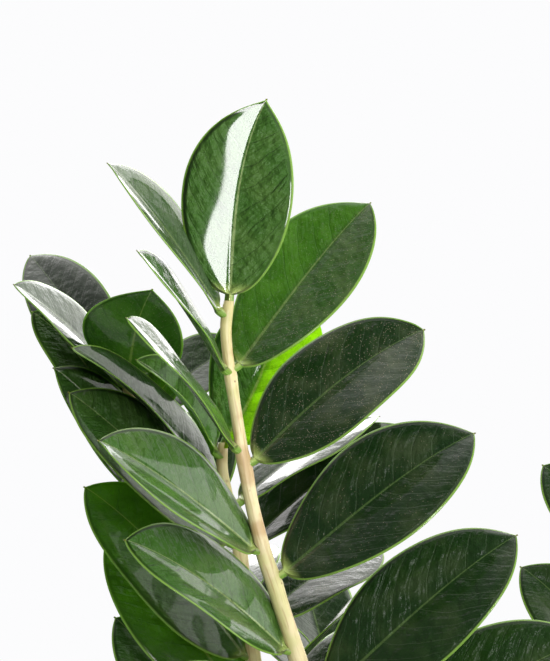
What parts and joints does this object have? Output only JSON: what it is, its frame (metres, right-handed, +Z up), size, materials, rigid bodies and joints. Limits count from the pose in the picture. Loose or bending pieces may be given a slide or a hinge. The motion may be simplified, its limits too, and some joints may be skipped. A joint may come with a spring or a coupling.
{
  "type": "potted zz plant",
  "caption": "Potted ZZ plant: upright fronds of thick, glossy, pointed green leaflets growing from soil in a plain tapered round pot.",
  "frame": {"origin": "centre of the pot's flat foot, on the surface it stands on", "axes": "+Z up; +X to the right and +Y away from someone who faces the tallest frond"},
  "size_m": [0.3832, 0.4146, 0.6404],
  "materials": {
    "leaf": "waxy, glossy dark-green leaf with a pale midrib and rim",
    "stem": "smooth satin straw-green stalk",
    "pot": "plain off-white satin glaze",
    "soil": "matt granular potting mix"
  },
  "bodies": {
    "root": {"frond_a_leaflet_left_1": "leaf", "frond_a_leaflet_left_2": "leaf", "frond_a_leaflet_left_3": "leaf", "frond_a_leaflet_left_4": "leaf", "frond_a_leaflet_left_5": "leaf", "frond_a_leaflet_left_6": "leaf", "frond_a_leaflet_left_7": "leaf", "frond_a_leaflet_left_8": "leaf", "frond_a_leaflet_right_1": "leaf", "frond_a_leaflet_right_2": "leaf", "frond_a_leaflet_right_3": "leaf", "frond_a_leaflet_right_4": "leaf", "frond_a_leaflet_right_5": "leaf", "frond_a_leaflet_right_6": "leaf", "frond_a_leaflet_right_7": "leaf", "frond_a_leaflet_tip": "leaf", "frond_a_stem": "stem", "frond_b_leaflet_left_1": "leaf", "frond_b_leaflet_left_2": "leaf", "frond_b_leaflet_left_3": "leaf", "frond_b_leaflet_left_4": "leaf", "frond_b_leaflet_left_5": "leaf", "frond_b_leaflet_left_6": "leaf", "frond_b_leaflet_left_7": "leaf", "frond_b_leaflet_right_1": "leaf", "frond_b_leaflet_right_2": "leaf", "frond_b_leaflet_right_3": "leaf", "frond_b_leaflet_right_4": "leaf", "frond_b_leaflet_right_5": "leaf", "frond_b_leaflet_right_6": "leaf", "frond_b_leaflet_tip": "leaf", "frond_b_stem": "stem", "frond_c_leaflet_left_1": "leaf", "frond_c_leaflet_left_2": "leaf", "frond_c_leaflet_left_3": "leaf", "frond_c_leaflet_left_4": "leaf", "frond_c_leaflet_left_5": "leaf", "frond_c_leaflet_right_1": "leaf", "frond_c_leaflet_right_2": "leaf", "frond_c_leaflet_right_3": "leaf", "frond_c_leaflet_right_4": "leaf", "frond_c_leaflet_right_5": "leaf", "frond_c_leaflet_tip": "leaf", "frond_c_stem": "stem", "frond_d": "leaf", "frond_e": "leaf", "frond_f": "leaf", "frond_g": "leaf", "frond_h": "leaf", "frond_i": "leaf", "frond_j": "leaf", "frond_k": "leaf", "frond_l": "leaf", "pot": "pot", "soil": "soil"}
  },
  "joints": []
}
